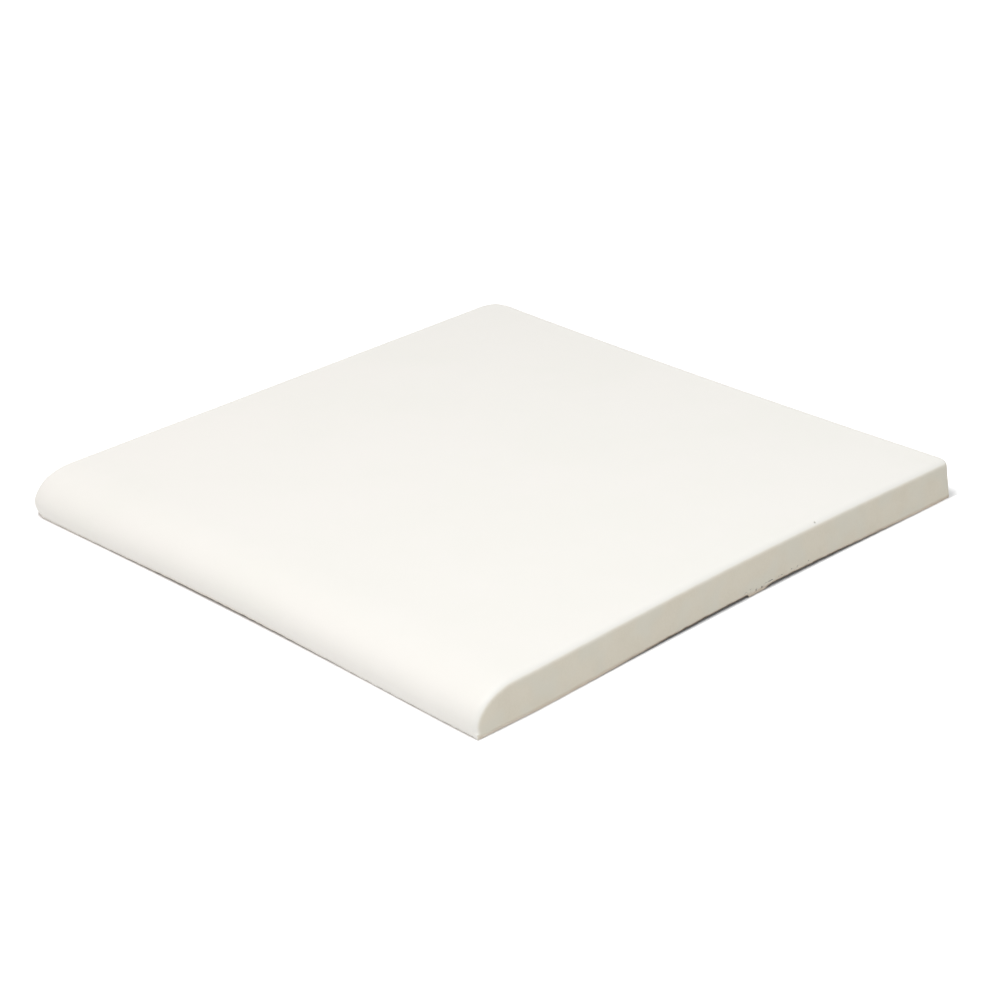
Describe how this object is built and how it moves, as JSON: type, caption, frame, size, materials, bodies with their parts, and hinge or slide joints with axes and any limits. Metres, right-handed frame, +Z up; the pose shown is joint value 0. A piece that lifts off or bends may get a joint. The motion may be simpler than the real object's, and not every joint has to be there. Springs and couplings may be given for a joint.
{
  "type": "bullnose tile",
  "caption": "Square flat ceramic trim tile with one rounded bullnose edge, plain leaning edges on the other sides and a keyed back for bedding.",
  "frame": {"origin": "centre of the back, on the plane that the tile lies on", "axes": "+X along the rounded edge, +Y from the rounded edge to the plain edge opposite, +Z up out of the glazed face"},
  "size_m": [0.152, 0.152, 0.0097],
  "materials": {
    "white_glaze": "satin off-white glaze on a cream fired body"
  },
  "bodies": {
    "root": {"bullnose_tile": "white_glaze"}
  },
  "joints": []
}
